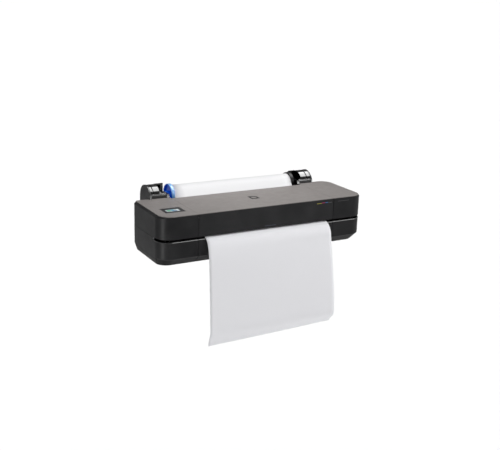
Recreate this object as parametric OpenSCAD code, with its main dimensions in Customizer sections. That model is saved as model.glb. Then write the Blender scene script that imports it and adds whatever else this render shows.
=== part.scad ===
// Desktop large format plotter for 24 inch rolls, with a sheet hanging from its front slot.
// Origin: centre of the stand screw pattern on the underside. +X right, front faces -Y, +Z up.

/* [Housing] */
// Overall width of the housing
body_w = 1016; // [900:1:1100]
// Distance from the stand pattern to the front face
front_depth = 165; // [160:1:175]
// Distance from the stand pattern to the back edge of the lid
lid_back = 115; // [112:1:118]
// Distance from the stand pattern to the back edge of the two ears beside the lid
ear_back = 140; // [138:1:142]
// Height of the top above the underside
top_z = 220; // [218:1:224]
// Lower edge of the paper slot at the front
slot_low = 110; // [108:1:110]
// Upper edge of the paper slot at the front
slot_high = 122; // [121:1:123]
// Distance of the lid seams from the middle
seam_x = 336; // [334:1:340]
// Radius of the two front corners, seen from above
front_r = 62; // [50:1:70]
// Radius of the left rear corner
rear_left_r = 22; // [15:1:30]
// Radius of the right rear corner
rear_right_r = 60; // [40:1:62]
// Thickness of the moulded walls
wall = 3; // [2.5:0.5:3]

/* [Lower edge] */
// Height of the slanted band round the underside
band_h = 38; // [30:1:40]
// How far the band runs in at the front
band_front = 42; // [30:1:45]
// How far the band runs in at the sides
band_side = 15; // [12:1:20]

/* [Roll and paper] */
// Width of the roll and of the sheet
paper_w = 610; // [594:1:610]
// Radius of the wound paper
roll_r = 43; // [36:1:46]
// Distance from the stand pattern back to the roll axis
roll_y = 194; // [192:1:196]
// Height of the roll axis
roll_z = 216; // [214:1:218]
// Height of the paper path through the machine
paper_z = 115.5; // [115:0.5:116]
// Length of the straight part of the hanging sheet
hang_run = 240; // [180:1:260]

/* [Roll holders] */
// Outer face of the left holder, from the middle
left_out = 431; // [426:1:434]
// Outer face of the right holder, from the middle
right_out = 412; // [408:1:416]
// Inner face of the left holder, from the middle
left_in = 340; // [338:1:342]
// Inner face of the right holder, from the middle
right_in = 326; // [325:1:328]
// Radius of the arched holder walls
holder_r = 61; // [60:1:63]

/* [Carriage] */
// Width of the print carriage
carriage_w = 100; // [90:1:104]
// Place of the carriage centre when parked
park_x = 395; // [380:1:396]
// Radius of the guide rod
rod_r = 6; // [5:0.5:7]

/* [Hidden] */
$fn = 64;

half_w = body_w / 2;
front_y = -front_depth;
gap = 1.0;             // seam between neighbouring covers
rim_z = slot_high - 4; // height where the side walls of base and caps meet
ramp_y = front_y + 72; // where the open slot starts to close along the side
bevel_h = 6;           // height of the slanted top edge
bevel_side = 9.5;      // how far that edge runs in at the sides
bevel_front = 0.8;     // and at the front
skin = 2.5;            // thickness of the top panels
shell_top = top_z - skin - 0.05;
seam_in = 0.9;         // half of the seam beside the lid
panel_seam = 0.25;     // half of the seam between the top panels
ink_back = front_y + 105;   // where the ink door ends along the right side

hinge_y = lid_back - 11;    // lid hinge axis
hinge_z = top_z - 14;
door_y = front_y + 7;       // ink door hinge axis
door_z = slot_high + 4;

plate_x = 466;              // inner face of the side plates
plate_t = 3;
rod_y = 42;
rod_z = 170;
belt_y = 84;                // front edge of the carriage belt
belt_w = 6;
belt_z = 178;
belt_r = 12;
belt_t = 1.2;
pulley_x = 446;

feed_y = 40;
feed_r = 10;
paper_clear = 0.6;          // from the paper's middle to a roller
feed_z = paper_z - paper_clear - feed_r;
pinch_r = 5;
pinch_z = paper_z + paper_clear + pinch_r;
eject_y = -72;
eject_r = 6;
eject_z = paper_z - paper_clear - eject_r;
shaft_r = 4;
fit = 0.06;                 // radial clearance of a running shaft

motor_y = -30;              // paper motor axis
motor_z = 50;
cutter_y = -112;
cutter_z = 124;
cutter_x = 324;             // where the cutter parks

right_hood_in = 352;        // inner end of each hood, and the middle of its groove
right_groove = 384.5;
left_hood_in = 383;
left_groove = 412.5;
hood_t = 8;
vents = 14;                 // cooling slots in the back, behind the main board
vent_pitch = 15;
vent_x = -255;
vent_w = 6;
vent_low = 52;
vent_h = 44;

arch_y = roll_y - 7;        // centre of the arched holder walls
arch_z = roll_z - 4.5;
holder_low = 148.3;         // underside of the holders
end_wall = 7;               // thickness of a holder's outer wall
cradle_wall = 12;           // and of the wall that carries the spindle
shelf_y = ear_back + 1;     // axis of the round front shelf
shelf_z = top_z + 13;
shelf_r = 8;
journal_r = 8;
stop_in = 305.3;            // inner face of the roll stops, from the middle
stop_r = 49;
stop_w = 14.7;

module side_to_side(x0, x1) {  // turns a Y-Z outline into a bar from x0 to x1
    translate([x0, 0, 0]) rotate([90, 0, 90]) linear_extrude(x1 - x0) children();
}

module x_rod(x0, x1, y, z, r) {
    translate([x0, y, z]) rotate([0, 90, 0]) cylinder(h = x1 - x0, r = r);
}

module y_rod(y0, y1, x, z, r) {
    translate([x, y1, z]) rotate([90, 0, 0]) cylinder(h = y1 - y0, r = r);
}

module block(x0, x1, y0, y1, z0, z1) {
    translate([x0, y0, z0]) cube([x1 - x0, y1 - y0, z1 - z0]);
}

// Plan outline of the housing, drawn in by in_front, in_side and in_back.
module plan(in_front = 0, in_side = 0, in_back = 0) {
    x1 = half_w - in_side;
    y0 = front_y + in_front;
    y1 = ear_back - in_back;
    rf = front_r - in_side;
    rl = max(rear_left_r - in_side, 2);
    rr = max(rear_right_r - in_side, 2);
    polygon([[-x1 + rf, y0], [x1 - rf, y0], [x1, y0 + rf], [x1, y1 - rr],
             [x1 - rr, y1], [-x1 + rl, y1], [-x1, y1 - rl], [-x1, y0 + rf]]);
    translate([-x1 + rf, y0 + rf]) circle(rf);
    translate([x1 - rf, y0 + rf]) circle(rf);
    translate([x1 - rr, y1 - rr]) circle(rr);
    translate([-x1 + rl, y1 - rl]) circle(rl);
}

// The lower housing as a closed shell: a straight wall above a slanted band.
module lower_shell() {
    difference() {
        hull() {
            linear_extrude(0.1) plan(band_front, band_side, 4);
            translate([0, 0, band_h]) linear_extrude(rim_z - band_h - gap / 2) plan();
        }
        hull() {
            translate([0, 0, wall]) linear_extrude(0.1)
                plan(band_front + wall, band_side + wall, 4 + wall);
            translate([0, 0, band_h]) linear_extrude(rim_z) plan(wall, wall, wall);
        }
        slot_cut(slot_low, rim_z + 1);
    }
}

// Space that opens the slot at the front and along both sides, ending in a ramp.
module slot_cut(z_from, z_to) {
    low = min(z_from, z_to);
    high = max(z_from, z_to);
    tip = z_from < z_to ? high : low;
    block(-half_w - 1, half_w + 1, front_y - 1, ramp_y, low, high);
    side_to_side(-half_w - 1, half_w + 1)
        polygon([[ramp_y - 0.1, z_from], [ramp_y - 0.1, tip], [ramp_y + 14, tip]]);
}

module base_tray() {
    color([0.17, 0.17, 0.17]) difference() {
        union() {
            lower_shell();
            for (x = [-400, 400], y = [-80, 80])
                translate([x, y, 1]) cylinder(h = 11, r = 8);
            for (x = [-440, -150, 150, 440], y = [-100, 100])
                translate([x, y, 1]) cylinder(h = 11, r = 6);
        }
        block(-seam_x - gap, seam_x + gap, front_y - 1, front_y + band_front + 14, -1, rim_z);
        for (x = [-400, 400], y = [-80, 80])
            translate([x, y, -1]) cylinder(h = 20, r = 3.2);
        for (x = [-440, -150, 150, 440], y = [-100, 100])
            translate([x, y, 6]) cylinder(h = 20, r = 2.02);
    }
}

module lower_front_panel() {
    color([0.18, 0.18, 0.18]) intersection() {
        lower_shell();
        block(-seam_x + gap, seam_x - gap, front_y - 1, front_y + band_front + 14 - gap,
              -1, rim_z);
    }
}

// Outside of the upper housing with its slanted top edge.
module upper_solid() {
    hull() {
        translate([0, 0, rim_z + gap / 2]) linear_extrude(shell_top - bevel_h - rim_z) plan();
        translate([0, 0, shell_top - 0.1]) linear_extrude(0.1) plan(bevel_front, bevel_side, 1);
    }
}

module upper_room() {
    translate([0, 0, rim_z - 1]) linear_extrude(shell_top - wall - rim_z + 1)
        plan(wall, wall + bevel_side * 0.5, wall);
    translate([0, 0, rim_z - 1]) linear_extrude(shell_top - bevel_h - wall - rim_z)
        plan(wall, wall, wall);
}

module left_cap() {
    color([0.17, 0.17, 0.17]) difference() {
        upper_solid();
        upper_room();
        slot_cut(slot_high, rim_z - 1);
        block(-seam_x - seam_in, half_w + 1, front_y - 1, ear_back + 1, 0, top_z);
        block(-450, -372, -95, -35, shell_top - wall - 1, top_z);
    }
}

module right_cap() {
    color([0.17, 0.17, 0.17]) difference() {
        upper_solid();
        upper_room();
        block(-half_w - 1, seam_x + seam_in, front_y - 1, ear_back + 1, 0, top_z);
        ink_door_space(gap);
    }
}

// The wrap-round front piece that the ink door takes out of the right cap.
module ink_door_space(grow) {
    difference() {
        block(0, half_w + 1, front_y - 1, ink_back + grow, 0, shell_top + 1);
        translate([0, 0, rim_z - 2]) linear_extrude(top_z)
            plan(wall + 3 + grow, wall + 9 + grow, 0);
    }
}

module ink_door() {
    color([0.18, 0.18, 0.18]) difference() {
        union() {
            difference() {
                intersection() {
                    upper_solid();
                    ink_door_space(0);
                }
                translate([0, 0, rim_z - 1]) linear_extrude(shell_top - bevel_h - rim_z)
                    plan(wall, wall, wall);
                block(-half_w, seam_x + seam_in + gap, front_y - 1, ear_back, 0, top_z);
                slot_cut(slot_high, rim_z - 1);
            }
            for (x = [352, 440])
                difference() {
                    x_rod(x, x + 8, door_y, door_z, 4);
                    block(x - 1, x + 9, door_y - 9, door_y + 9, 0, slot_high);
                }
            for (x = [352, 440])
                block(x, x + 8, front_y + wall - 0.5, door_y, slot_high + 0.5, door_z + 4);
        }
        x_rod(300, 500, door_y, door_z, 2 + fit);
    }
}

module ink_door_pins() {
    color([0.6, 0.6, 0.62]) for (x = [346, 434]) x_rod(x, x + 20, door_y, door_z, 2);
}

module top_panel(x0, x1) {
    color([0.55, 0.52, 0.5]) intersection() {
        translate([0, 0, top_z - skin]) linear_extrude(skin)
            plan(bevel_front + 0.2, bevel_side + 1, 1.2);
        block(x0, x1, front_y, ear_back, 0, top_z + 1);
    }
}

module left_top_panel() {
    difference() {
        top_panel(-half_w, -seam_x - panel_seam);
        block(-456, -366, -100, -30, 0, top_z + 1);
    }
}

module right_top_panel() {
    top_panel(seam_x + panel_seam, half_w);
}

module display_bezel() {
    color([0.06, 0.06, 0.07]) difference() {
        block(-455.8, -366.2, -99.8, -30.2, top_z - skin, top_z + 0.4);
        block(-444, -382, -86, -53, top_z - 1.5, top_z + 1);
    }
}

module display_glass() {
    color([0.75, 0.88, 0.92]) union() {
        block(-443.9, -382.1, -85.9, -53.1, top_z - 1.5, top_z + 0.2);
        block(-448, -374, -93, -37, top_z - 10, shell_top - 0.1);
    }
}

module lid_shell() {
    color([0.18, 0.18, 0.18]) difference() {
        union() {
            block(-seam_x + seam_in, seam_x - seam_in, front_y + bevel_front, lid_back - 1,
                  shell_top - wall, shell_top);
            block(-seam_x + seam_in, seam_x - seam_in, front_y, front_y + wall,
                  slot_high, shell_top - 1);
            for (x = [-seam_x + seam_in, -112, 112 - wall, seam_x - seam_in - wall])
                block(x, x + wall, front_y + 1, lid_back - 25, shell_top - wall - 8,
                      shell_top - 1);
            for (x = [-330, 312]) {
                x_rod(x, x + 18, hinge_y, hinge_z, 7);
                block(x, x + 18, hinge_y - 7, hinge_y + 7, hinge_z, shell_top - 1);
            }
        }
        x_rod(-340, 340, hinge_y, hinge_z, 4 + fit);
    }
}

module lid_panel() {
    color([0.55, 0.52, 0.5])
        block(-seam_x + panel_seam, seam_x - panel_seam, front_y + bevel_front + 0.2,
              lid_back - 1.2, top_z - skin, top_z);
}

// Plain emblem: an open sheet outline with a folded corner.
module lid_badge() {
    color([0.12, 0.12, 0.12]) translate([8, -12, top_z]) linear_extrude(0.4) difference() {
        polygon([[-20, -22], [20, -22], [20, 9], [7, 22], [-20, 22]]);
        polygon([[-11, -13], [11, -13], [11, 5], [3, 13], [-11, 13]]);
    }
}

module lid_pins() {
    color([0.6, 0.6, 0.62]) for (x = [-331, 299]) x_rod(x, x + 32, hinge_y, hinge_z, 4);
}

module rear_wall() {
    color([0.15, 0.15, 0.15]) difference() {
        union() {
            block(-seam_x + 1, seam_x - 1, lid_back - 6, lid_back - 3, rim_z + 6, hinge_z - 20);
            for (x = [-311.5, 299])
                side_to_side(x, x + 12.5) union() {
                    translate([hinge_y, hinge_z]) circle(7);
                    polygon([[hinge_y - 7, hinge_z], [hinge_y + 5, hinge_z - 4],
                             [lid_back - 4, hinge_z - 22], [lid_back - 4, hinge_z - 40],
                             [hinge_y - 7, hinge_z - 40]]);
                }
        }
        x_rod(-340, 340, hinge_y, hinge_z, 4);
        block(-paper_w / 2 - 6, paper_w / 2 + 6, 90, 130, 128, 170);
    }
}

// Y-Z section of the rear housing; t draws it in by that much.
module rear_section(t) {
    difference() {
        polygon([[ear_back + gap + t, 8 + t], [235 - t * 0.5, 8 + t], [275 - t, 50 + t * 0.4],
                 [275 - t, 190 - t], [roll_y, 190 - t], [roll_y, 156 - t],
                 [ear_back + gap + t, 136 - t]]);
        translate([roll_y, roll_z]) circle(60 + t);
    }
}

module rear_housing() {
    color([0.16, 0.16, 0.16]) difference() {
        side_to_side(-left_out, right_out) rear_section(0);
        side_to_side(-left_out + wall, right_out - wall) rear_section(wall);
        block(60, 220, 270, 276, 70, 115);
        block(right_in - 0.5, right_out + 1, ear_back - 1, 276, holder_low - 0.3, 200);
        block(-left_out - 1, 0.5 - left_in, ear_back - 1, 276, holder_low - 0.3, 200);
        for (x = [vent_x:vent_pitch:vent_x + vent_pitch * (vents - 1)])
            block(x, x + vent_w, 270, 276, vent_low, vent_low + vent_h);
    }
}

module connector_panel() {
    color([0.3, 0.3, 0.31]) difference() {
        block(60.2, 219.8, 270, 275, 70.2, 114.8);
        block(72, 104, 271.5, 276, 78, 106);
        block(150, 166, 271.5, 276, 84, 98);
        block(178, 192, 271.5, 276, 88, 96);
        y_rod(269, 276, 127, 92, 8.3);
    }
    color([0.7, 0.7, 0.72]) for (x = [80, 88, 96])
        block(x - 1, x + 1, 271.5, 275, 90, 96);
}

module power_button() {
    color([0.25, 0.25, 0.26]) {
        y_rod(268, 278, 127, 92, 8);
        y_rod(266, 268, 127, 92, 11);
    }
}

// Arched wall of a roll holder from x0 to x1.
module arch(x0, x1, r, z_low) {
    side_to_side(x0, x1) difference() {
        union() {
            translate([arch_y, arch_z]) circle(r);
            polygon([[arch_y - r, arch_z], [arch_y + r, arch_z], [arch_y + r, z_low],
                     [arch_y - r, z_low]]);
        }
        polygon([[0, 0], [400, 0], [400, z_low], [0, z_low]]);
        polygon([[0, 0], [ear_back + gap, 0], [ear_back + gap, top_z + gap],
                 [0, top_z + gap]]);
    }
}

// A holder for the right end: cradle wall, shroud behind the spindle, outer wall and front shelf.
module holder(x_in, x_hood, x_out) {
    front_of_spindle = roll_y - journal_r - fit;
    back_of_spindle = roll_y + journal_r + fit;
    difference() {
        union() {
            arch(x_out - end_wall, x_out, holder_r, holder_low);
            arch(x_in, x_in + cradle_wall, holder_r, holder_low);
            difference() {
                arch(x_in + cradle_wall - 1, x_hood - gap, holder_r, holder_low);
                x_rod(0, x_out, arch_y, arch_z, holder_r - 6);
                block(0, x_out, 0, back_of_spindle, 0, 300);
                block(0, x_out, 0, 300, 0, arch_z);
            }
            block(x_in, x_out - 0.5, ear_back + gap, arch_y + holder_r - 4,
                  holder_low, holder_low + 3.7);
            block(x_in, x_out - end_wall + 1, ear_back - 8, ear_back + 16,
                  top_z + gap, shelf_z);
            x_rod(x_in, x_out - end_wall + 1, shelf_y, shelf_z, shelf_r);
            block(x_in, x_out - end_wall + 1, ear_back + gap, ear_back + 4,
                  holder_low + 2, top_z + 2);
        }
        x_rod(300, x_out - end_wall - 0.5, roll_y, roll_z, journal_r + fit);
        block(300, x_out - end_wall - 0.5, front_of_spindle, back_of_spindle, roll_z, 300);
        block(300, x_in + cradle_wall + 1, 0, front_of_spindle + 1, roll_z + 20, 300);
        block(300, x_out, 0, ear_back + gap, 0, top_z + gap);
    }
}

module right_holder() {
    color([0.12, 0.12, 0.12]) holder(right_in, right_hood_in, right_out);
}

module left_holder() {
    color([0.12, 0.12, 0.12]) mirror([1, 0, 0]) holder(left_in, left_hood_in, left_out);
}

// Glossy cover over a spindle end, in two bands with a groove between them.
module hood(x_in, x_groove, x_out) {
    x_end = x_out - end_wall - 0.3;
    hood_r = holder_r - 1;
    difference() {
        union() {
            arch(x_in, x_groove - 2.5, hood_r, holder_low + 4);
            arch(x_groove - 3.5, x_groove + 3.5, hood_r - 4, holder_low + 4);
            arch(x_groove + 2.5, x_end, hood_r, holder_low + 4);
        }
        side_to_side(x_in - 1, x_out) union() {
            translate([arch_y, arch_z]) circle(hood_r - hood_t);
            polygon([[arch_y - hood_r + hood_t, arch_z], [arch_y + hood_r - hood_t, arch_z],
                     [arch_y + hood_r - hood_t, 0], [arch_y - hood_r + hood_t, 0]]);
        }
        block(x_in - 1, x_out, 0, ear_back + 17, 0, shelf_z + shelf_r + 1);
    }
}

module right_hood() {
    color([0.05, 0.05, 0.05]) hood(right_hood_in, right_groove, right_out);
}

module left_hood() {
    color([0.05, 0.05, 0.05]) mirror([1, 0, 0]) hood(left_hood_in, left_groove, left_out);
}

module spindle() {
    color([0.1, 0.1, 0.1]) {
        x_rod(end_wall + 3 - left_out, right_out - end_wall - 3, roll_y, roll_z, journal_r);
        x_rod(-left_in - cradle_wall - 14, -left_in - cradle_wall - 4, roll_y, roll_z, 20);
        x_rod(right_in + cradle_wall + 4, right_in + cradle_wall + 13, roll_y, roll_z, 20);
    }
}

// Stop for the right end of the roll: a rimmed flange with a hub that fits into the core.
module roll_stop(x_end) {
    difference() {
        union() {
            difference() {
                x_rod(stop_in, stop_in + stop_w, roll_y, roll_z, stop_r);
                x_rod(stop_in + 5.7, stop_in + stop_w + 1, roll_y, roll_z, stop_r - 4);
            }
            x_rod(stop_in - 35.3, stop_in + 6, roll_y, roll_z, 25.9);
            x_rod(stop_in + 5, x_end, roll_y, roll_z, 18);
        }
        x_rod(200, 400, roll_y, roll_z, journal_r + 0.05);
    }
}

module blue_stop() {
    color([0.1, 0.3, 0.75]) mirror([1, 0, 0]) roll_stop(left_in - 6);
}

module black_stop() {
    color([0.06, 0.06, 0.06]) roll_stop(right_in - 2);
}

module roll_core() {
    color([0.6, 0.48, 0.35]) difference() {
        x_rod(-paper_w / 2, paper_w / 2, roll_y, roll_z, 28.5);
        x_rod(-paper_w, paper_w, roll_y, roll_z, 26);
    }
}

module paper_roll() {
    color([0.96, 0.96, 0.97]) difference() {
        x_rod(-paper_w / 2, paper_w / 2, roll_y, roll_z, roll_r);
        x_rod(-paper_w, paper_w, roll_y, roll_z, 28.55);
    }
}

// The paper path as a centre line, then as a thin closed band of thickness t.
function turn(c, r, a0, a1, n) =
    [for (i = [0:n]) let (a = a0 + (a1 - a0) * i / n) [c[0] + r * cos(a), c[1] + r * sin(a)]];
function band(line, t) = let (n = len(line)) concat(
    [for (i = [0:n - 1]) line[i] + t / 2 * normal(line, i, n)],
    [for (i = [n - 1:-1:0]) line[i] - t / 2 * normal(line, i, n)]);
function normal(line, i, n) =
    let (d = line[min(i + 1, n - 1)] - line[max(i - 1, 0)]) [-d[1], d[0]] / norm(d);

sheet_t = 0.4;
web_r = roll_r + 0.6;   // the web leaves the front of the roll
fall = 60;              // its slope down to the feed roller, in degrees
bend_r = 60;            // then it bends level
web_drop = roll_z + web_r * cos(fall) - paper_z - bend_r * (1 - cos(fall));
bend_y = roll_y - (web_r + bend_r) * sin(fall) - web_drop / tan(fall);
web_line = concat(
    turn([roll_y, roll_z], web_r, 30, 90 + fall, 12),
    turn([bend_y, paper_z + bend_r], bend_r, -90 + fall, -90, 8),
    [[cutter_y + 2, paper_z]]);

module paper_web() {
    color([0.95, 0.95, 0.96]) side_to_side(-paper_w / 2, paper_w / 2)
        polygon(band(web_line, sheet_t));
}

lip_r = 32;          // first bend over the slot's lower lip
slow_r = 1100;       // the sheet then straightens slowly
curl_r = 118;        // set of the roll left in the free end
lip_end = 77;
hang = 83;           // slope of the straight part below the horizontal
curl_end = 126;
lip_c = [front_y + 4, paper_z - lip_r];
p1 = lip_c + lip_r * [-sin(lip_end), cos(lip_end)];
slow_c = p1 - slow_r * [-sin(lip_end), cos(lip_end)];
p2 = slow_c + slow_r * [-sin(hang), cos(hang)];
p3 = p2 + hang_run * [-cos(hang), -sin(hang)];
curl_c = p3 - curl_r * [-sin(hang), cos(hang)];
sheet_line = concat(
    [[cutter_y, paper_z]],
    turn(lip_c, lip_r, 90, 90 + lip_end, 8),
    turn(slow_c, slow_r, 90 + lip_end + 1, 90 + hang, 3),
    turn(curl_c, curl_r, 90 + hang, 90 + curl_end, 8));

module output_sheet() {
    color([0.93, 0.93, 0.95]) side_to_side(-paper_w / 2, paper_w / 2)
        polygon(band(sheet_line, sheet_t));
}

module chassis_plate() {
    color([0.7, 0.71, 0.72]) difference() {
        block(-plate_x - plate_t, plate_x + plate_t, -112, 112, 12.2, 14);
        for (x = [-440, -150, 150, 440], y = [-100, 100])
            translate([x, y, 0]) cylinder(h = 20, r = 2.02);
        for (x = [-400, 400], y = [-80, 80]) translate([x, y, 0]) cylinder(h = 20, r = 6);
    }
}

module frame_screws() {
    color([0.75, 0.75, 0.77]) for (x = [-440, -150, 150, 440], y = [-100, 100])
        translate([x, y, 6.5]) {
            cylinder(h = 8, r = 2);
            translate([0, 0, 7.55]) cylinder(h = 3, r = 4);
        }
}

module side_plate(x0) {
    color([0.7, 0.71, 0.72]) difference() {
        block(x0, x0 + plate_t, -124, 110, 14.1, 204);
        x_rod(x0 - 1, x0 + plate_t + 1, rod_y, rod_z, rod_r);
        x_rod(x0 - 1, x0 + plate_t + 1, feed_y, feed_z, shaft_r + fit);
        x_rod(x0 - 1, x0 + plate_t + 1, eject_y, eject_z, shaft_r + fit);
        x_rod(x0 - 1, x0 + plate_t + 1, feed_y, pinch_z, 2.5 + fit);
        x_rod(x0 - 1, x0 + plate_t + 1, motor_y, motor_z, 3 + fit);
    }
}

module left_side_plate() {
    side_plate(-plate_x - plate_t);
}

module right_side_plate() {
    side_plate(plate_x);
}

module guide_rod() {
    color([0.82, 0.82, 0.84]) x_rod(-plate_x - 5, plate_x + 5, rod_y, rod_z, rod_r);
}

module rear_rail() {
    color([0.68, 0.69, 0.7]) {
        block(-plate_x + 0.2, plate_x - 0.2, 66, 68, 126, 158);
        block(-plate_x + 0.2, plate_x - 0.2, 68, 82, 126, 128);
        block(-plate_x + 0.2, plate_x - 0.2, 68, 82, 156, 158);
    }
}

module encoder_strip() {
    color([0.8, 0.85, 0.85])
        block(-plate_x + 0.2, plate_x - 0.2, 74, 74.5, 199, 204);
}

module carriage() {
    color([0.2, 0.2, 0.21]) difference() {
        side_to_side(park_x - carriage_w / 2, park_x + carriage_w / 2) polygon([
            [-40, 130], [30, 130], [30, 138], [65.5, 138], [65.5, 152], [60, 158], [60, 194],
            [20, 203], [-30, 203], [-40, 192]]);
        x_rod(0, plate_x, rod_y, rod_z, rod_r + fit);
        block(park_x - 40, park_x + 40, -36, 26, 176, 210);
        block(park_x - 44, park_x + 44, -34, 24, 120, 136);
    }
    color([0.2, 0.2, 0.21]) difference() {
        block(park_x - 12, park_x + 12, 59.5, belt_y + belt_w + 1,
              belt_z - belt_r - belt_t - 4, belt_z - belt_r + 4.5);
        block(park_x - 20, park_x + 20, belt_y - 0.5, belt_y + belt_w + 2,
              belt_z - belt_r - belt_t - 0.5, belt_z - belt_r + 0.5);
    }
}

module printhead() {
    color([0.1, 0.1, 0.11])
        block(park_x - 43.8, park_x + 43.8, -33.8, 23.8, paper_z + 2, 135.8);
}

module scan_belt() {
    color([0.08, 0.08, 0.08]) translate([0, belt_y + belt_w, belt_z]) rotate([90, 0, 0])
        linear_extrude(belt_w) difference() {
            belt_outline(belt_r + belt_t + 0.4);
            belt_outline(belt_r + 0.4);
        }
}

module belt_outline(r) {
    for (x = [-pulley_x, pulley_x]) translate([x, 0]) circle(r);
    square([2 * pulley_x, 2 * r], center = true);
}

module drive_pulley() {
    color([0.75, 0.75, 0.77]) {
        y_rod(belt_y, belt_y + belt_w, -pulley_x, belt_z, belt_r);
        y_rod(belt_y - 1.5, belt_y - 0.2, -pulley_x, belt_z, belt_r + 3);
        y_rod(belt_y - 0.2, belt_y, -pulley_x, belt_z, belt_r);
        y_rod(belt_y + belt_w, 100, -pulley_x, belt_z, 3);
    }
}

module scan_motor() {
    color([0.25, 0.25, 0.26]) difference() {
        y_rod(93, 108.5, -pulley_x, belt_z, 17);
        y_rod(90, 101, -pulley_x, belt_z, 3 + fit);
    }
}

module idler_pulley() {
    color([0.3, 0.3, 0.31]) {
        y_rod(belt_y, belt_y + belt_w, pulley_x, belt_z, belt_r);
        y_rod(belt_y - 1.5, belt_y, pulley_x, belt_z, belt_r - 1);
        y_rod(belt_y + belt_w, 104, pulley_x, belt_z, 3);
    }
}

module platen() {
    color([0.14, 0.14, 0.15]) union() {
        block(-340, 340, -62, 24, paper_z - 4, paper_z - 1);
        for (x = [-320:80:320]) block(x - 2, x + 2, -58, 20, 80, paper_z - 4);
        block(-340, 340, -62, -59, 80, paper_z - 4);
    }
}

module feed_roller() {
    color([0.3, 0.3, 0.3]) {
        x_rod(-320, 320, feed_y, feed_z, feed_r);
        x_rod(-490, 490, feed_y, feed_z, shaft_r);
        x_rod(-482, -474, feed_y, feed_z, 36);
        x_rod(474, 480, feed_y, feed_z, 12);
    }
}

module pinch_rollers() {
    color([0.22, 0.22, 0.22]) {
        x_rod(-472, 472, feed_y, pinch_z, 2.5);
        for (x = [-300:100:240]) x_rod(x, x + 60, feed_y, pinch_z, pinch_r);
    }
}

module eject_roller() {
    color([0.3, 0.3, 0.3]) {
        for (x = [-310:60:290]) x_rod(x, x + 24, eject_y, eject_z, eject_r);
        x_rod(-475, 484, eject_y, eject_z, shaft_r);
        x_rod(474, 480, eject_y, eject_z, 7.2);
    }
}

// Belt round two pulleys of one size each, in a plane of constant x.
module loop_outline(a, ra, b, rb) {
    hull() {
        translate(a) circle(ra, $fn = 48);
        translate(b) circle(rb, $fn = 48);
    }
}

module feed_belt() {
    color([0.08, 0.08, 0.08]) {
        side_to_side(-481, -475) difference() {
            loop_outline([feed_y, feed_z], 37.6, [motor_y, motor_z], 10.6);
            loop_outline([feed_y, feed_z], 36.4, [motor_y, motor_z], 9.4);
        }
        side_to_side(475, 479) difference() {
            loop_outline([feed_y, feed_z], 13.4, [eject_y, eject_z], 8.6);
            loop_outline([feed_y, feed_z], 12.4, [eject_y, eject_z], 7.6);
        }
    }
}

module feed_pulley() {
    color([0.75, 0.75, 0.77]) {
        x_rod(-482, -474, motor_y, motor_z, 9);
        x_rod(-474, -460, motor_y, motor_z, 3);
    }
}

module feed_motor() {
    color([0.25, 0.25, 0.26]) difference() {
        x_rod(-465.8, -420, motor_y, motor_z, 21);
        x_rod(-470, -458, motor_y, motor_z, 3 + fit);
    }
}

module exit_tray() {
    color([0.1, 0.1, 0.1]) union() {
        block(-460, 460, front_y + wall + 3.4, eject_y - 10, slot_low - 4, slot_low - 1.5);
        for (x = [-440:110:440]) block(x - 1.5, x + 1.5, front_y + 8, eject_y - 12,
                                       slot_low - 14, slot_low - 4);
    }
}

module cutter_rail() {
    color([0.72, 0.73, 0.74]) block(-465.8, 465.8, cutter_y - 4, cutter_y + 4,
                                    cutter_z + 3, cutter_z + 12);
}

module cutter_slider() {
    color([0.35, 0.36, 0.36]) difference() {
        block(cutter_x - 14, cutter_x + 14, cutter_y - 8, cutter_y + 12,
              cutter_z - 6, cutter_z + 16);
        block(300, 360, cutter_y - 4.4, cutter_y + 4.4, cutter_z + 2.6, cutter_z + 12.4);
        block(300, 360, cutter_y + 5.5, cutter_y + 8.5, cutter_z - 10, cutter_z + 8);
        y_rod(cutter_y, cutter_y + 20, cutter_x, cutter_z - 1, 1.5 + fit);
    }
}

module cutter_wheel() {
    color([0.8, 0.8, 0.82]) {
        y_rod(cutter_y + 6, cutter_y + 8, cutter_x, cutter_z - 1, 6.8);
        y_rod(cutter_y + 8, cutter_y + 12, cutter_x, cutter_z - 1, 1.5);
    }
}

module service_station() {
    color([0.2, 0.2, 0.21]) difference() {
        block(346, 444, -50, 32, 60, 108);
        block(349, 441, -47, 29, 63, 110);
    }
}

module cap_sled() {
    color([0.3, 0.3, 0.31]) difference() {
        block(350, 440, -38, 27, 76, paper_z + 1.4);
        block(356, 434, -32, 21, paper_z - 4, paper_z + 3);
    }
}

module ink_bay() {
    color([0.16, 0.16, 0.17]) union() {
        block(342, 462, -128, -58, 138, 141);
        block(342, 462, -61, -58, 141, 208);
        for (x = [342, 371.25, 400.5, 429.75, 459]) block(x, x + 3, -128, -61, 141, 170);
        for (x = [346, 456]) block(x, x + 6, -148, -128, 138, 141);
        for (x = [361, 428]) difference() {
            union() {
                x_rod(x, x + 6, door_y, door_z, 3.6);
                block(x, x + 6, door_y, -128, door_z - 3.6, 141);
            }
            x_rod(x - 1, x + 7, door_y, door_z, 2.02);
        }
    }
}

ink_colors = [[0.1, 0.1, 0.1], [0.0, 0.55, 0.8], [0.8, 0.1, 0.5], [0.9, 0.8, 0.1]];

module ink_cartridges() {
    for (i = [0:3]) color(ink_colors[i])
        block(345.5 + i * 29.25, 370.75 + i * 29.25, -134, -62, 141.2, 205);
}

module main_board() {
    color([0.1, 0.35, 0.2]) block(-260, -40, 150, 225, 40, 41.6);
    color([0.15, 0.15, 0.15]) {
        for (x = [-240:60:-80]) block(x, x + 24, 165, 189, 41.6, 45);
        for (x = [-250, -60]) block(x, x + 8, 155, 163, 11.2, 40);
    }
}

module power_supply() {
    color([0.72, 0.73, 0.74]) block(70, 230, 150, 222, 14, 70);
}

module feet() {
    color([0.1, 0.1, 0.1]) for (x = [-380, 380], y = [-95, 108])
        translate([x, y, -4]) cylinder(h = 4, r = 15);
}

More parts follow.
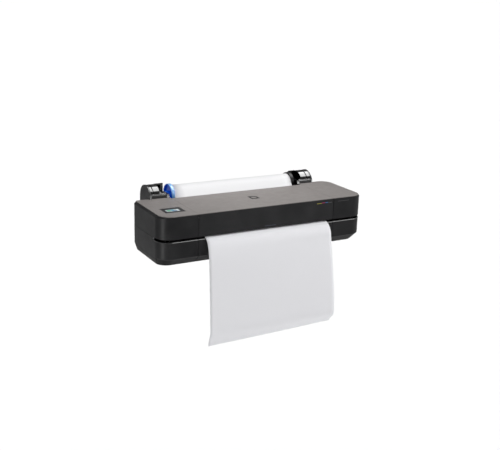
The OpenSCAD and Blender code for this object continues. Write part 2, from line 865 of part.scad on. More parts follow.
base_tray();
lower_front_panel();
left_cap();
right_cap();
left_top_panel();
right_top_panel();
lid_shell();
lid_panel();
lid_badge();
lid_pins();
display_bezel();
display_glass();
ink_door();
ink_door_pins();
rear_wall();
rear_housing();
connector_panel();
power_button();
left_holder();
right_holder();
left_hood();
right_hood();
spindle();
blue_stop();
black_stop();
roll_core();
paper_roll();
paper_web();
output_sheet();
chassis_plate();
left_side_plate();
right_side_plate();
guide_rod();
rear_rail();
encoder_strip();
carriage();
printhead();
scan_belt();
drive_pulley();
idler_pulley();
scan_motor();
platen();
feed_roller();
pinch_rollers();
eject_roller();
exit_tray();
feed_belt();
feed_motor();
feed_pulley();
cutter_rail();
cutter_slider();
cutter_wheel();
service_station();
cap_sled();
ink_bay();
ink_cartridges();
main_board();
power_supply();
feet();
frame_screws();
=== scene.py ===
"""Looks of a desktop large format plotter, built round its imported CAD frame. Everything is in metres."""

import math
import random

import bmesh
import bpy
from mathutils import Matrix, Vector


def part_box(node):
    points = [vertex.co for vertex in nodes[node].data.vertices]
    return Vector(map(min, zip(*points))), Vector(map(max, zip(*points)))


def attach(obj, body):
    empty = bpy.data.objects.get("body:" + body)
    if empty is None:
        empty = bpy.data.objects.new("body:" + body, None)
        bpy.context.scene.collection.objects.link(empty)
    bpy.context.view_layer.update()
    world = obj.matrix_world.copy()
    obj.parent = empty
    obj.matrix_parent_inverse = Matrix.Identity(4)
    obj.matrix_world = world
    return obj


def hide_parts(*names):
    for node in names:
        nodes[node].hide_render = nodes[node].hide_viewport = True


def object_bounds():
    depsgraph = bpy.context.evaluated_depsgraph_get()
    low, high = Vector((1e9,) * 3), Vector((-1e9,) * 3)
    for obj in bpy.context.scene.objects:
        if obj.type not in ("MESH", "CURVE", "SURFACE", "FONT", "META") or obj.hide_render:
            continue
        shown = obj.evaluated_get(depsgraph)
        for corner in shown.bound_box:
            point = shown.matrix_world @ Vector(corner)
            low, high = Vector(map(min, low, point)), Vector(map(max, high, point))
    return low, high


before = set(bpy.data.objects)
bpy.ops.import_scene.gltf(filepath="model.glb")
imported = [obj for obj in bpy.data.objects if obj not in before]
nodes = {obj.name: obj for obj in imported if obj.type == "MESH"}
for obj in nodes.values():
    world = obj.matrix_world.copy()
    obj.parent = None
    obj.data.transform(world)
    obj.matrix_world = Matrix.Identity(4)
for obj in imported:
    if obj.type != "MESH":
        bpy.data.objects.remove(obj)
cad_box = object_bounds()

COVERS = ("base_tray", "lower_front_panel", "left_cap", "right_cap", "lid_shell", "ink_door")
TOP_PANELS = ("lid_panel", "left_top_panel", "right_top_panel")
TOP_INSETS = ("display_bezel", "display_glass", "lid_badge")
HOODS = ("left_hood", "right_hood")
HOLDERS = ("left_holder", "right_holder")

# ---------------------------------------------------------------- camera, floor and light

CAMERA_PLACE = Vector((-1.7795, -3.1319, 1.1566))
CAMERA_YAW = 29.6065
CAMERA_PITCH = 16.510
CAMERA_ROLL = 1.793
CAMERA_LENS = 59.826
SENSOR_WIDTH = 36.0
FLOOR_DROP = 2.2
FLOOR_HALF = 400.0


def aim(azimuth, elevation):
    """Unit vector towards a place in the sky. Azimuth 0 is the front and 90 the right-hand side."""
    a, e = math.radians(azimuth), math.radians(elevation)
    return Vector((math.sin(a) * math.cos(e), -math.cos(a) * math.cos(e), math.sin(e)))


def make_camera():
    forward = aim(180 - CAMERA_YAW, -CAMERA_PITCH)
    level = forward.cross(Vector((0, 0, 1))).normalized()
    up = level.cross(forward)
    roll = math.radians(CAMERA_ROLL)
    right = level * math.cos(roll) + up * math.sin(roll)
    top = up * math.cos(roll) - level * math.sin(roll)
    data = bpy.data.cameras.new("camera")
    data.lens = CAMERA_LENS
    data.sensor_width = SENSOR_WIDTH
    data.clip_end = 2 * FLOOR_HALF
    camera = bpy.data.objects.new("camera", data)
    turn = Matrix((right, top, -forward)).transposed().to_4x4()
    camera.matrix_world = Matrix.Translation(CAMERA_PLACE) @ turn
    bpy.context.scene.collection.objects.link(camera)
    bpy.context.scene.camera = camera


def make_floor():
    mesh = bpy.data.meshes.new("floor")
    low = cad_box[0].z - FLOOR_DROP
    corners = [(x, y, low) for x, y in ((-1, -1), (1, -1), (1, 1), (-1, 1))]
    mesh.from_pydata([(x * FLOOR_HALF, y * FLOOR_HALF, z) for x, y, z in corners], [], [(0, 1, 2, 3)])
    floor = bpy.data.objects.new("floor", mesh)
    bpy.context.scene.collection.objects.link(floor)
    material = bpy.data.materials.new("pale_floor")
    material.use_nodes = True
    shader = material.node_tree.nodes["Principled BSDF"]
    shader.inputs["Base Color"].default_value = (0.82, 0.82, 0.82, 1)
    shader.inputs["Roughness"].default_value = 1.0
    shader.inputs["Specular IOR Level"].default_value = 0.0
    mesh.materials.append(material)


class Sky:
    """A dim grey studio with soft boxes, as the world's light."""

    def __init__(self, low, high):
        self.world = bpy.data.worlds.new("studio")
        self.world.use_nodes = True
        bpy.context.scene.world = self.world
        self.tree = self.world.node_tree
        self.ray = self.tree.nodes.new("ShaderNodeTexCoord").outputs["Generated"]
        split = self.tree.nodes.new("ShaderNodeSeparateXYZ")
        self.tree.links.new(self.ray, split.inputs[0])
        self.total = self.span(split.outputs["Z"], -0.2, 0.9, low, high)

    def dot(self, axis):
        node = self.tree.nodes.new("ShaderNodeVectorMath")
        node.operation = "DOT_PRODUCT"
        self.tree.links.new(self.ray, node.inputs[0])
        node.inputs[1].default_value = axis
        return node.outputs["Value"]

    def math(self, operation, a, b):
        node = self.tree.nodes.new("ShaderNodeMath")
        node.operation = operation
        for socket, value in zip(node.inputs, (a, b)):
            if isinstance(value, bpy.types.NodeSocket):
                self.tree.links.new(value, socket)
            else:
                socket.default_value = value
        return node.outputs[0]

    def span(self, value, start, end, low, high):
        node = self.tree.nodes.new("ShaderNodeMapRange")
        node.interpolation_type = "SMOOTHSTEP"
        self.tree.links.new(value, node.inputs["Value"])
        for name, number in (("From Min", start), ("From Max", end), ("To Min", low), ("To Max", high)):
            node.inputs[name].default_value = number
        return node.outputs[0]

    def box(self, azimuth, elevation, half_width, half_height, strength, softness=0.1):
        """A soft box in that direction, its half sizes as tangents of angles."""
        centre = aim(azimuth, elevation)
        across = centre.cross(Vector((0, 0, 1))).normalized()
        along = across.cross(centre)
        depth = self.dot(centre)
        lit = self.span(depth, 0.0, 0.05, 0.0, strength)
        for axis, half in ((across, half_width), (along, half_height)):
            slope = self.math("ABSOLUTE", self.math("DIVIDE", self.dot(axis), depth), 0.0)
            lit = self.math("MULTIPLY", lit, self.span(slope, half - softness, half + softness, 1.0, 0.0))
        self.total = self.math("ADD", self.total, lit)

    def finish(self):
        """Lights the scene with the sum, and shows a plain white backdrop above the floor."""
        background = self.tree.nodes["Background"]
        background.inputs["Color"].default_value = (1, 1, 1, 1)
        seen = self.tree.nodes.new("ShaderNodeLightPath").outputs["Is Camera Ray"]
        self.tree.links.new(self.math("MAXIMUM", self.total, seen), background.inputs["Strength"])


def soft_box(name, pieces, place, target, size, power, shine_only=False, clear_way=False):
    """A soft box that faces a target and lights just those pieces. Size in metres, power in watts.

    With shine_only, it shows as gloss and leaves the matt part of a surface as it is. With clear_way,
    nothing but the pieces themselves shades them.
    """
    data = bpy.data.lights.new(name, "AREA")
    data.shape = "RECTANGLE"
    data.size, data.size_y = size
    data.energy = power
    lamp = bpy.data.objects.new(name, data)
    towards = Vector(target) - Vector(place)
    turn = towards.to_track_quat("-Z", "Y").to_matrix().to_4x4()
    lamp.matrix_world = Matrix.Translation(place) @ turn
    lamp.visible_camera = False
    lamp.visible_diffuse = not shine_only
    bpy.context.scene.collection.objects.link(lamp)
    lit = bpy.data.collections.new(name + "_lit")
    for piece in pieces:
        lit.objects.link(piece)
    lamp.light_linking.receiver_collection = lit
    if clear_way:
        lamp.light_linking.blocker_collection = lit


def light_studio():
    """The big soft boxes far away, which everything shows."""
    sky = Sky(low=0.20, high=0.26)
    sky.box(azimuth=95, elevation=58, half_width=0.42, half_height=0.34, strength=6.5)
    sky.box(azimuth=-20, elevation=50, half_width=0.50, half_height=0.40, strength=0.8, softness=0.25)
    sky.box(azimuth=32, elevation=27, half_width=0.22, half_height=0.08, strength=3.5, softness=0.05)
    sky.finish()
    bpy.context.scene.view_settings.view_transform = "Standard"


def light_machine():
    """Soft boxes that each light one group of the machine's pieces."""
    groups = (TOP_PANELS + TOP_INSETS, COVERS, HOODS, HOLDERS)
    tops, covers, hoods, holders = [[nodes[name] for name in names] for names in groups]
    soft_box("top_box", tops, (0.08, 0.10, 0.95), (0.08, 0.10, 0.0), (0.6, 0.35), 6.0)
    soft_box("left_strip", covers, (-4.0, -1.6, 0.1), (-0.4, -0.1, 0.1), (0.3, 4.0), 600.0, shine_only=True)
    soft_box("hood_box", hoods, (2.64, 0.43, 4.44), (0.0, 0.2, 0.2), (4.2, 3.0), 300.0, shine_only=True)
    soft_box("shelf_box", holders, (1.90, -3.20, 0.70), (0.0, 0.15, 0.23), (1.6, 1.6), 110.0,
             shine_only=True)


def light_roll(pieces):
    """Lights the roll's front from low down, past the machine that stands before it."""
    soft_box("roll_box", pieces, (0.0, -3.6, -0.40), (0.0, 0.2, 0.22), (2.4, 0.8), 112.0, clear_way=True)


make_camera()
make_floor()
light_machine()
light_studio()

# ---------------------------------------------------------------- materials


def tone(*levels):
    """Linear colour from display values of 0 to 255 for red, green and blue."""
    return [((c / 255 + 0.055) / 1.055) ** 2.4 if c > 10 else c / 255 / 12.92 for c in levels] + [1.0]


def mixed(a, b, share):
    return [p + (q - p) * share for p, q in zip(a, b)]


BLANK = [0, 0, 0, 1]
GREY = [0.5, 0.5, 0.5, 1]
BAND_TOP = 0.037
BAND_FOLD = 0.030
# Distance from the middle inside which the roll holders get painted shade.
HOLDER_SHADE_EDGE = 0.346


class Look:
    """A procedural material: a Principled shader, and nodes that vary it over the surface."""

    def __init__(self, name, colour, roughness=0.5, **sockets):
        self.material = bpy.data.materials.new(name)
        self.material.use_nodes = True
        self.tree = self.material.node_tree
        self.shader = self.tree.nodes["Principled BSDF"]
        self.base = colour
        self.set("Base Color", colour)
        self.set("Roughness", roughness)
        for key, value in sockets.items():
            self.set(key.replace("_", " "), value)
        self.coordinates = self.tree.nodes.new("ShaderNodeTexCoord")
        self.place = self.coordinates.outputs["Object"]
        self.normal = None

    def set(self, socket, value):
        self.shader.inputs[socket].default_value = value

    def stretched(self, stretch):
        node = self.tree.nodes.new("ShaderNodeMapping")
        self.tree.links.new(self.place, node.inputs["Vector"])
        node.inputs["Scale"].default_value = stretch
        return node.outputs[0]

    def part_of(self, vector, axis):
        node = self.tree.nodes.new("ShaderNodeSeparateXYZ")
        self.tree.links.new(vector, node.inputs[0])
        return node.outputs[axis]

    def size_of(self, value):
        node = self.tree.nodes.new("ShaderNodeMath")
        node.operation = "ABSOLUTE"
        self.tree.links.new(value, node.inputs[0])
        return node.outputs[0]

    def height(self):
        """Height above the underside, in metres."""
        return self.part_of(self.place, "Z")

    def off_centre(self):
        """Distance to the left or right of the machine's middle, in metres."""
        return self.size_of(self.part_of(self.place, "X"))

    def sideways(self):
        """How far the surface faces to the left or right, from 0 to 1."""
        return self.size_of(self.part_of(self.coordinates.outputs["Normal"], "X"))

    def noise(self, size, detail=2.0, stretch=(1, 1, 1)):
        """Noise with blotches of that size in metres."""
        node = self.tree.nodes.new("ShaderNodeTexNoise")
        self.tree.links.new(self.stretched(stretch), node.inputs["Vector"])
        node.inputs["Scale"].default_value = 1.0 / size
        node.inputs["Detail"].default_value = detail
        return node.outputs["Fac"]

    def cells(self, size, feature="F1", stretch=(1, 1, 1)):
        node = self.tree.nodes.new("ShaderNodeTexVoronoi")
        self.tree.links.new(self.stretched(stretch), node.inputs["Vector"])
        node.feature = feature
        node.inputs["Scale"].default_value = 1.0 / size
        return node.outputs["Distance"]

    def stripes(self, pitch, axis, distortion=0.0):
        """Soft stripes along one axis, one every pitch metres."""
        node = self.tree.nodes.new("ShaderNodeTexWave")
        self.tree.links.new(self.place, node.inputs["Vector"])
        node.bands_direction = axis
        node.inputs["Scale"].default_value = math.pi / 10 / pitch
        node.inputs["Distortion"].default_value = distortion
        return node.outputs["Fac"]

    def ramp(self, value, low, high, start=0.3, end=0.7):
        node = self.tree.nodes.new("ShaderNodeMapRange")
        self.tree.links.new(value, node.inputs["Value"])
        for name, number in (("From Min", start), ("From Max", end), ("To Min", low), ("To Max", high)):
            node.inputs[name].default_value = number
        return node.outputs[0]

    def tint(self, value, other, start=0.3, end=0.7):
        """Shifts the colour towards another one where value is high."""
        node = self.tree.nodes.new("ShaderNodeMix")
        node.data_type = "RGBA"
        self.tree.links.new(self.ramp(value, 0.0, 1.0, start, end), node.inputs[0])
        before = self.shader.inputs["Base Color"]
        if before.links:
            self.tree.links.new(before.links[0].from_socket, node.inputs[6])
        else:
            node.inputs[6].default_value = self.base
        node.inputs[7].default_value = other
        self.tree.links.new(node.outputs[2], before)
        return self

    def vary(self, socket, value, low, high, start=0.3, end=0.7):
        self.tree.links.new(self.ramp(value, low, high, start, end), self.shader.inputs[socket])
        return self

    def bump(self, value, height):
        node = self.tree.nodes.new("ShaderNodeBump")
        node.inputs["Distance"].default_value = height
        self.tree.links.new(value, node.inputs["Height"])
        if self.normal:
            self.tree.links.new(self.normal, node.inputs["Normal"])
        self.normal = node.outputs["Normal"]
        self.tree.links.new(self.normal, self.shader.inputs["Normal"])
        return self


def grained(name, colour, roughness, flow, grain, **sockets):
    """Injection moulded plastic, with faint flow marks and a spark-eroded grain of those heights."""
    look = Look(name, colour, roughness, **sockets)
    look.tint(look.noise(0.12, 3), mixed(colour, GREY, 0.02))
    look.vary("Roughness", look.noise(0.03, 4), roughness - 0.04, roughness + 0.05)
    look.bump(look.noise(0.25, 1), flow)
    look.bump(look.noise(0.0006, 2), grain)
    return look


def moulded(name, colour, roughness, height=0.00003, **sockets):
    return grained(name, colour, roughness, height * 4, height, **sockets).material


def brushed(name, colour, roughness, stretch, **sockets):
    """Sheet or bar metal with fine lines along one axis."""
    look = Look(name, colour, roughness, Metallic=1.0, **sockets)
    lines = look.noise(0.0008, 3, stretch)
    look.tint(lines, mixed(colour, [0.1, 0.1, 0.1, 1], 0.25))
    look.vary("Roughness", lines, roughness - 0.08, roughness + 0.12)
    look.bump(lines, 0.00002)
    return look.material


def housing_black(name, colour, roughness):
    """The black covers: moulded plastic, with painted shade that darkens it below the top of the band round
    the underside.
    """
    look = grained(name, colour, roughness, 0.0001, 0.00003, Specular_IOR_Level=0.03)
    # Painted shade: the colour darkens towards the underside, in place of the shade on the band that faces
    # the floor.
    look.tint(look.height(), mixed(colour, BLANK, 0.72), BAND_TOP, BAND_FOLD)
    return look.material


def galvanised():
    look = Look("galvanised_steel", tone(176, 179, 182), 0.38, Metallic=1.0)
    look.tint(look.cells(0.012), tone(150, 154, 158), 0.0, 0.7)
    look.vary("Roughness", look.cells(0.012), 0.28, 0.5, 0.0, 0.8)
    look.bump(look.noise(0.002, 3), 0.00003)
    return look.material


def rubber(name, colour, pitch=0.0004):
    look = Look(name, colour, 0.8)
    look.set("Specular IOR Level", 0.25)
    look.tint(look.noise(0.004, 5), mixed(colour, [0.4, 0.4, 0.4, 1], 0.06))
    look.bump(look.noise(pitch, 3), 0.00006)
    return look.material


def paper(name, colour, painted_glow=0.0):
    look = Look(name, colour, 0.75)
    # Painted light: with a glow the paper shines a little by itself, lifting its shade.
    look.set("Emission Color", colour)
    look.set("Emission Strength", painted_glow)
    look.set("Specular IOR Level", 0.2)
    look.set("Subsurface Weight", 0.08)
    look.set("Subsurface Radius", (0.002, 0.002, 0.002))
    look.tint(look.noise(0.003, 6), mixed(colour, [0.75, 0.75, 0.78, 1], 0.12))
    look.bump(look.noise(0.0007, 4), 0.00002)
    return look.material


def cardboard():
    look = Look("cardboard", tone(176, 142, 104), 0.9)
    look.tint(look.noise(0.0015, 5, (0.2, 1, 1)), tone(140, 108, 76))
    look.bump(look.stripes(0.012, "DIAGONAL", 0.4), 0.0001)
    return look.material


def circuit_board():
    look = Look("circuit_board", tone(18, 74, 44), 0.35, Coat_Weight=0.6)
    tracks = look.cells(0.004, "DISTANCE_TO_EDGE", (1, 0.25, 1))
    look.tint(tracks, tone(36, 104, 60), 0.06, 0.02)
    look.bump(tracks, 0.00005)
    return look.material


def blue_plastic():
    look = Look("blue_plastic", tone(16, 92, 220), 0.35, Specular_IOR_Level=0.2, Coat_Weight=0.15)
    # Painted light: a faint blue glow stands in for light shining through the plastic.
    look.set("Emission Color", tone(10, 80, 220))
    look.set("Emission Strength", 0.12)
    look.tint(look.noise(0.02, 2), tone(40, 122, 232))
    look.bump(look.noise(0.001, 2), 0.00001)
    return look.material


def clear_blue():
    """Frosted, light blue plastic of the outer rim of the left roll stop, its light colour partly a painted
    highlight along the rim.
    """
    look = Look("clear_blue", tone(150, 200, 246), 0.15)
    look.set("Coat Weight", 0.8)
    look.set("Subsurface Weight", 0.2)
    look.set("Subsurface Radius", (0.002, 0.003, 0.004))
    look.tint(look.noise(0.012, 3, (3, 1, 1)), tone(120, 178, 240))
    look.bump(look.noise(0.0012, 2), 0.00001)
    return look.material


def polished_on_curves(name, colour):
    """Black plastic, matt on its flat end faces and polished on its arches, with painted shade that darkens
    its inner faces.
    """
    look = Look(name, colour, 0.5, Specular_IOR_Level=0.12, Coat_Roughness=0.25)
    look.vary("Coat Weight", look.sideways(), 1.0, 0.0, 0.3, 0.7)
    # Painted shade: the faces towards the machine's middle, round the roll's cradle, are darkened.
    look.tint(look.off_centre(), mixed(colour, BLANK, 0.85), HOLDER_SHADE_EDGE, HOLDER_SHADE_EDGE - 0.008)
    look.vary("Roughness", look.noise(0.03, 4), 0.45, 0.55)
    look.bump(look.noise(0.0006, 2), 0.00002)
    return look.material


def gold():
    look = Look("gold_contacts", tone(224, 184, 96), 0.25, Metallic=1.0)
    look.tint(look.noise(0.001, 2), tone(196, 152, 70))
    return look.material


def glowing(name, colour, strength):
    look = Look(name, colour, 0.3)
    look.set("Emission Color", colour)
    look.set("Emission Strength", strength)
    look.tint(look.stripes(0.0006, "X"), mixed(colour, BLANK, 0.15))
    return look.material


def clear_strip():
    look = Look("clear_strip", tone(205, 210, 214), 0.15)
    look.set("Transmission Weight", 0.7)
    look.tint(look.stripes(0.0017, "X"), tone(60, 62, 66), 0.4, 0.6)
    return look.material


def screen_glass():
    look = Look("screen_glass", tone(20, 26, 30), 0.1, Coat_Weight=1.0)
    look.tint(look.noise(0.02, 1), tone(24, 34, 40))
    return look.material


looks = {
    "black_housing": housing_black("housing_black", tone(37, 37, 38), 0.4),
    "black_fascia": housing_black("fascia_black", tone(42, 42, 43), 0.42),
    "taupe_panel": moulded("taupe_top", tone(98, 94, 92), 0.5, Specular_IOR_Level=0.35),
    "bezel_black": moulded("gloss_black", tone(12, 12, 13), 0.3, Specular_IOR_Level=0.2),
    "holder_black": polished_on_curves("holder_black", tone(20, 20, 21)),
    "hood_gloss": moulded("hood_gloss", tone(6, 6, 6), 0.06, height=0.0, Specular_IOR_Level=0.5),
    "inner_black": moulded("inner_black", tone(20, 20, 21), 0.6, Specular_IOR_Level=0.3),
    "dark_grey": moulded("inner_grey", tone(52, 53, 55), 0.55),
    "button_grey": moulded("button_grey", tone(70, 71, 74), 0.4),
    "cartridge": moulded("cartridge_black", tone(34, 34, 36), 0.45),
    "spindle_black": moulded("spindle_black", tone(20, 20, 21), 0.38),
    "motor_grey": brushed("motor_case", tone(120, 122, 125), 0.4, (1, 8, 8)),
    "steel": galvanised(),
    "ground_steel": brushed("ground_steel", tone(200, 202, 205), 0.18, (1, 12, 12)),
    "aluminium": brushed("aluminium", tone(190, 192, 196), 0.35, (0.1, 10, 10)),
    "roller_rubber": rubber("roller_rubber", tone(64, 64, 66)),
    "belt_rubber": rubber("belt_rubber", tone(26, 26, 27)),
    "foot_rubber": rubber("foot_rubber", tone(36, 36, 38), 0.001),
    "cardboard": cardboard(),
    "board_green": circuit_board(),
    "blue_plastic": blue_plastic(),
    "paper_white": paper("paper", tone(240, 241, 244)),
    "sheet_paper": paper("sheet_paper", tone(233, 233, 236)),
    # Painted light: the roll and the feed web glow a little, filling the shade near the roll stops.
    "roll_paper": paper("roll_paper", tone(200, 200, 201), painted_glow=0.12),
    "lip_gloss": moulded("lip_gloss", tone(20, 20, 21), 0.12, height=0.0, Specular_IOR_Level=0.6),
    "clear_blue": clear_blue(),
    "clear_strip": clear_strip(),
    "screen": screen_glass(),
    "gold": gold(),
    "screw_black": brushed("screw_black", tone(70, 70, 72), 0.35, (1, 1, 1)),
    "badge": moulded("badge_black", tone(16, 16, 17), 0.5, Specular_IOR_Level=0.1),
}

# ---------------------------------------------------------------- mesh tools

SHARP = 32


def modify(piece, kind, **settings):
    modifier = piece.modifiers.new(kind.lower(), kind)
    for key, value in settings.items():
        setattr(modifier, key, value)
    return modifier


def crisp(piece, degrees=SHARP):
    """Keeps edges sharper than that angle sharp."""
    modify(piece, "EDGE_SPLIT", split_angle=math.radians(degrees))


def rounded(piece, width, segments=3, **settings):
    modify(piece, "BEVEL", width=width, segments=segments, limit_method="ANGLE",
           angle_limit=math.radians(SHARP), **settings)


def add(name, mesh, look, body, smooth=True):
    """Puts a finished mesh in the scene, as a piece that rides on a body."""
    piece = bpy.data.objects.new(name, mesh)
    bpy.context.scene.collection.objects.link(piece)
    mesh.materials.append(look)
    mesh.polygons.foreach_set("use_smooth", [smooth] * len(mesh.polygons))
    mesh.update()
    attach(piece, body)
    return piece


class Shape:
    """Collects bars, turned parts and plates in one mesh."""

    def __init__(self, name):
        self.name = name
        self.points = []
        self.faces = []

    def put(self, points, faces):
        start = len(self.points)
        self.points += [tuple(p) for p in points]
        self.faces += [[start + i for i in face] for face in faces]

    def bar(self, low, high):
        xs, ys, zs = zip(low, high)
        points = [(xs[i & 1], ys[i >> 1 & 1], zs[i >> 2 & 1]) for i in range(8)]
        ends = [(0, 2, 3, 1), (4, 5, 7, 6)]
        self.put(points, ends + [(0, 1, 5, 4), (1, 3, 7, 5), (3, 2, 6, 7), (2, 0, 4, 6)])

    def turned(self, profile, centre, axis="X", steps=48):
        """Turns (place along the axis, radius) pairs round the X or Y axis through centre."""
        points = []
        for along, radius in profile:
            for k in range(steps):
                a = 2 * math.pi * k / steps
                u, v = radius * math.cos(a), radius * math.sin(a)
                offset = (along, u, v) if axis == "X" else (v, along, u)
                points.append([c + d for c, d in zip(centre, offset)])
        faces = []
        for ring in range(len(profile) - 1):
            for k in range(steps):
                a, b = ring * steps + k, ring * steps + (k + 1) % steps
                faces.append((a, a + steps, b + steps, b))
        if profile[0][1] > 0 and profile[0] != profile[-1]:
            faces.append(range(steps))
            faces.append(reversed(range((len(profile) - 1) * steps, len(profile) * steps)))
        self.put(points, [list(face) for face in faces])

    def prism(self, outline, low, high, axis="Z"):
        """Extrudes an outline, given anticlockwise about the Y or Z axis, from low to high along it."""
        count = len(outline)
        points = [(b, level, a) if axis == "Y" else (a, b, level)
                  for level in (low, high) for a, b in outline]
        sides = [(k, (k + 1) % count, count + (k + 1) % count, count + k) for k in range(count)]
        self.put(points, [list(range(count))[::-1], list(range(count, 2 * count))] + sides)

    def mesh(self):
        mesh = bpy.data.meshes.new(self.name)
        mesh.from_pydata(self.points, [], self.faces)
        work = bmesh.new()
        work.from_mesh(mesh)
        bmesh.ops.recalc_face_normals(work, faces=work.faces)
        work.to_mesh(mesh)
        work.free()
        return mesh


def round_rect(x0, x1, y0, y1, radius, steps=6):
    """Outline of a rectangle with round corners, anticlockwise."""
    outline = []
    for cx, cy, start in ((x1 - radius, y0 + radius, -90), (x1 - radius, y1 - radius, 0),
                          (x0 + radius, y1 - radius, 90), (x0 + radius, y0 + radius, 180)):
        for k in range(steps + 1):
            a = math.radians(start + 90 * k / steps)
            outline.append((cx + radius * math.cos(a), cy + radius * math.sin(a)))
    return outline


def upright_rect(x0, x1, z0, z1, radius):
    """The same outline as seen from the front, as (z, x) pairs for a prism along Y."""
    return [(z, x) for x, z in round_rect(x0, x1, z0, z1, radius)][::-1]


# ---------------------------------------------------------------- looks and edges of the CAD nodes

EDGE_ROUND = {**dict.fromkeys(HOLDERS + ("rear_housing",), 0.0012), **dict.fromkeys(COVERS, 0.0009),
              **dict.fromkeys(TOP_PANELS, 0.0006)}


def finish_nodes():
    """Gives each CAD node its materials, rounds the covers' edges and keeps the others' edges crisp."""
    for name, node in nodes.items():
        for place in node.material_slots:
            place.material = looks[place.material.name.split(".")[0]]
        node.data.polygons.foreach_set("use_smooth", [True] * len(node.data.polygons))
        modify(node, "WELD", merge_threshold=0.00002)
        if name in EDGE_ROUND:
            rounded(node, EDGE_ROUND[name])
            modify(node, "WEIGHTED_NORMAL", weight=90)
        else:
            crisp(node)


finish_nodes()

# ---------------------------------------------------------------- paper: sheet, web and roll

PAPER_WIDTH = 0.610
PAPER_THICK = 0.00025
PAPER_LAYERS = 24
LAYER_STEP = 0.0006
CUT_LINE = (-0.112, 0.1157)
# Legs of the paper's lines from the cutter: length, and the heading below the horizontal at its end. The
# web's last leg lies round the roll.
LEFT_EDGE = ((0.013, -16), (0.082, 72), (0.078, 86), (0.285, 86), (0.043, 112), (0.044, 99))
RIGHT_EDGE = ((0.013, -14), (0.106, 80), (0.062, 77), (0.278, 84), (0.059, 138), (0.027, 119))
WEB_START = (-0.110, 0.1155)
WEB_LEGS = ((0.161, 180), (0.0628, 240), (0.1066, 240), (0.1799, 0))


def walk(start, legs, first=0.0, steps=150):
    """Evenly spaced points along a line in the Y-Z plane whose heading turns evenly over each leg."""
    total = sum(length for length, heading in legs)
    points = [Vector((0, *start))]
    for k in range(steps):
        along = total * (k + 0.5) / steps
        heading = first
        for length, turned in legs:
            if along <= length:
                heading += (turned - heading) * along / length
                break
            along -= length
            heading = turned
        a = math.radians(heading)
        points.append(points[-1] - Vector((0, math.cos(a), math.sin(a))) * (total / steps))
    return points


def paper_between(name, left, right, columns, bow):
    """Paper ruled between two edge lines, with a slight bow across its width."""
    mesh = bpy.data.meshes.new(name)
    points, faces = [], []
    for row, (a, b) in enumerate(zip(left, right)):
        for column in range(columns + 1):
            share = column / columns
            point = a.lerp(b, share)
            point.x = (share - 0.5) * PAPER_WIDTH
            point.y -= bow * math.sin(math.pi * share) * min(1.0, row / len(left) * 2)
            points.append(point)
    for row in range(len(left) - 1):
        for column in range(columns):
            a = row * (columns + 1) + column
            faces.append((a, a + 1, a + columns + 2, a + columns + 1))
    mesh.from_pydata(points, [], faces)
    return mesh


def hanging_sheet():
    left = walk(CUT_LINE, LEFT_EDGE)
    right = walk(CUT_LINE, RIGHT_EDGE)
    sheet = add("hanging_sheet", paper_between("hanging_sheet", left, right, 40, 0.002),
                looks["sheet_paper"], "root")
    modify(sheet, "SOLIDIFY", thickness=PAPER_THICK, offset=0.0)
    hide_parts("output_sheet")


def paper_web():
    line = walk(WEB_START, WEB_LEGS, first=180.0, steps=120)
    web = add("feed_web", paper_between("feed_web", line, line, 12, 0.0),
              looks["roll_paper"], "root")
    modify(web, "SOLIDIFY", thickness=PAPER_THICK, offset=0.0)
    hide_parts("paper_web")
    return web


def wound_roll():
    """The wound paper, with a slightly stepped pile of layers at each end."""
    draw = random.Random(24)
    low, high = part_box("paper_roll")
    core_low, core_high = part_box("roll_core")
    centre = (0, (low.y + high.y) / 2, (low.z + high.z) / 2)
    outer, inner = (high.y - low.y) / 2, (core_high.y - core_low.y) / 2 + 0.0001
    profile = []
    for side in (-1, 1):
        ends = []
        for k in range(PAPER_LAYERS + 1):
            radius = inner + (outer - inner) * k / PAPER_LAYERS
            ends.append((side * (high.x - draw.uniform(0.0, LAYER_STEP)), radius))
        profile += ends if side < 0 else ends[::-1]
    shape = Shape("wound_roll")
    shape.turned(profile + [profile[0]], centre, steps=96)
    roll = add("wound_roll", shape.mesh(), looks["roll_paper"], "roll")
    crisp(roll, 50)
    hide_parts("paper_roll")
    return roll


hanging_sheet()
light_roll((paper_web(), wound_roll()))

# ---------------------------------------------------------------- display, marks and small trim

GLASS_TOP = 0.2202
SCREEN = (-0.4425, -0.3835, -0.0845, -0.0545)
FRONT = -0.165
FRONT_CORNER = 0.062
SLOT_LIP = 0.110
SLOT_SIDE_END = -0.093
SLOT_END = (0.5035, -0.0895, 0.1165)
LID_SEAM = 0.336
SEAM_HALF = 0.0009
# Section of the lip trim: depth from the front face, and rise above the slot's lower lip.
TRIM_SECTION = ((-0.0009, -0.0022), (-0.0009, -0.0010), (0.0012, 0.0007), (0.0028, 0.0008),
                (0.0028, -0.0022))
INK_MARKS = (("mark_yellow", 0.247, 0.272, 0.2030, tone(142, 134, 30)),
             ("mark_magenta", 0.2725, 0.2905, 0.2045, tone(146, 28, 84)),
             ("mark_cyan", 0.2915, 0.3055, 0.2045, tone(28, 98, 158)),
             ("mark_grey", 0.3065, 0.3270, 0.2030, tone(58, 60, 63)))


